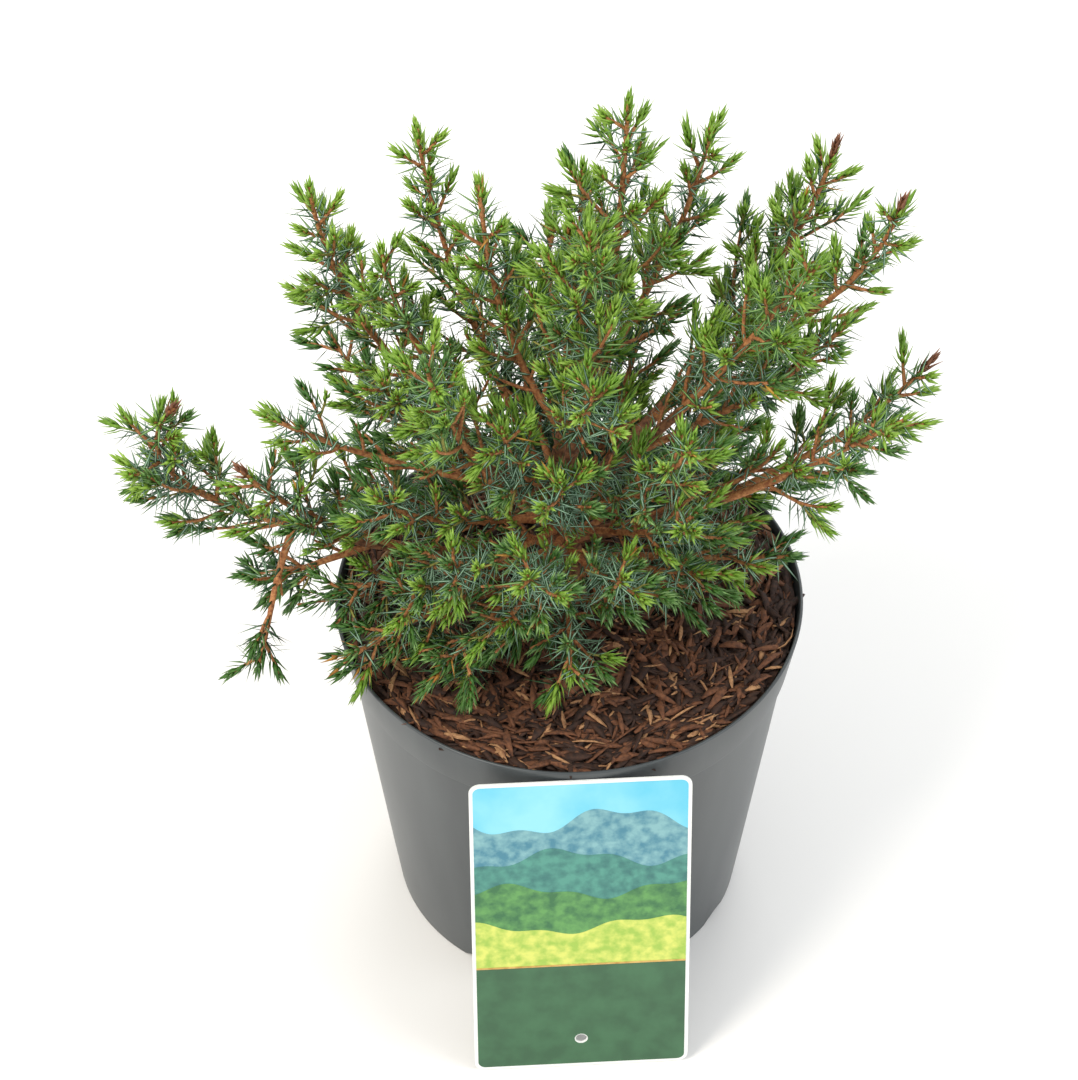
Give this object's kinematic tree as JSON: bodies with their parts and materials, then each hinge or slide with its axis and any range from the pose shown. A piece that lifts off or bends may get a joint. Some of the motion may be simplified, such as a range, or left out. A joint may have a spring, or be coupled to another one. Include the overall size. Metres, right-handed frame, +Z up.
{
  "type": "potted shore juniper",
  "caption": "Young shore juniper in a round nursery pot: short stem, spreading boughs, spiky needle foliage, bark mulch and a leaning plant label.",
  "frame": {"origin": "middle of the pot's flat underside, on the pot's axis", "axes": "+Z up along the pot's axis, +Y to the back of the plant, away from the label, +X to the right seen from the front"},
  "size_m": [0.3007, 0.2267, 0.362],
  "materials": {
    "pot_plastic": "moulded charcoal polypropylene, soft sheen",
    "peat": "damp peat and roots",
    "bark_chips": "shredded bark mulch",
    "label_card": "printed plastic card with a pale edge",
    "juniper_bark": "thin flaking orange-brown bark",
    "juniper_needles": "waxy awl-shaped needles, blue-green below and yellow-green at the tips"
  },
  "bodies": {
    "root": {"pot": "pot_plastic", "root_ball": "peat", "bark_mulch": "bark_chips", "plant_label": "label_card", "trunk": "juniper_bark", "bough_leader": "juniper_bark", "bough_crest": "juniper_bark", "bough_left_column": "juniper_bark", "bough_face_left": "juniper_bark", "bough_left_curl": "juniper_bark", "bough_right_bright": "juniper_bark", "bough_right_low_tip": "juniper_bark", "bough_right_back": "juniper_bark", "foliage_leader": "juniper_needles", "foliage_leader_left": "juniper_needles", "foliage_crest": "juniper_needles", "foliage_crest_right": "juniper_needles", "foliage_back_centre": "juniper_needles", "foliage_back_left_tuft": "juniper_needles", "foliage_left_column": "juniper_needles", "foliage_left_shoulder": "juniper_needles", "foliage_left_inner": "juniper_needles", "foliage_face_left": "juniper_needles", "foliage_front_shoot": "juniper_needles", "foliage_centre_left": "juniper_needles", "foliage_left_curl": "juniper_needles", "foliage_left_stub": "juniper_needles", "foliage_left_hang": "juniper_needles", "foliage_left_fringe": "juniper_needles", "foliage_left_low": "juniper_needles", "foliage_low_left": "juniper_needles", "foliage_low_left_outer": "juniper_needles", "foliage_front_left_low": "juniper_needles", "foliage_front_low": "juniper_needles", "foliage_front_fill": "juniper_needles", "foliage_front_face": "juniper_needles", "foliage_front_left_mid": "juniper_needles", "foliage_centre": "juniper_needles", "foliage_centre_front": "juniper_needles", "foliage_face_right": "juniper_needles", "foliage_face_centre": "juniper_needles", "foliage_front_mid": "juniper_needles", "foliage_right_front": "juniper_needles", "foliage_right_bright": "juniper_needles", "foliage_right_mid": "juniper_needles", "foliage_right_low_tip": "juniper_needles", "foliage_right_far": "juniper_needles", "foliage_right_inner": "juniper_needles", "foliage_right_skirt": "juniper_needles", "foliage_front_right_low": "juniper_needles", "foliage_right_back": "juniper_needles", "foliage_right_brown": "juniper_needles", "foliage_back": "juniper_needles", "foliage_back_inner": "juniper_needles", "foliage_back_left": "juniper_needles", "foliage_back_right": "juniper_needles", "foliage_back_right_inner": "juniper_needles", "foliage_back_low": "juniper_needles", "foliage_left_back_low": "juniper_needles"}
  },
  "joints": []
}
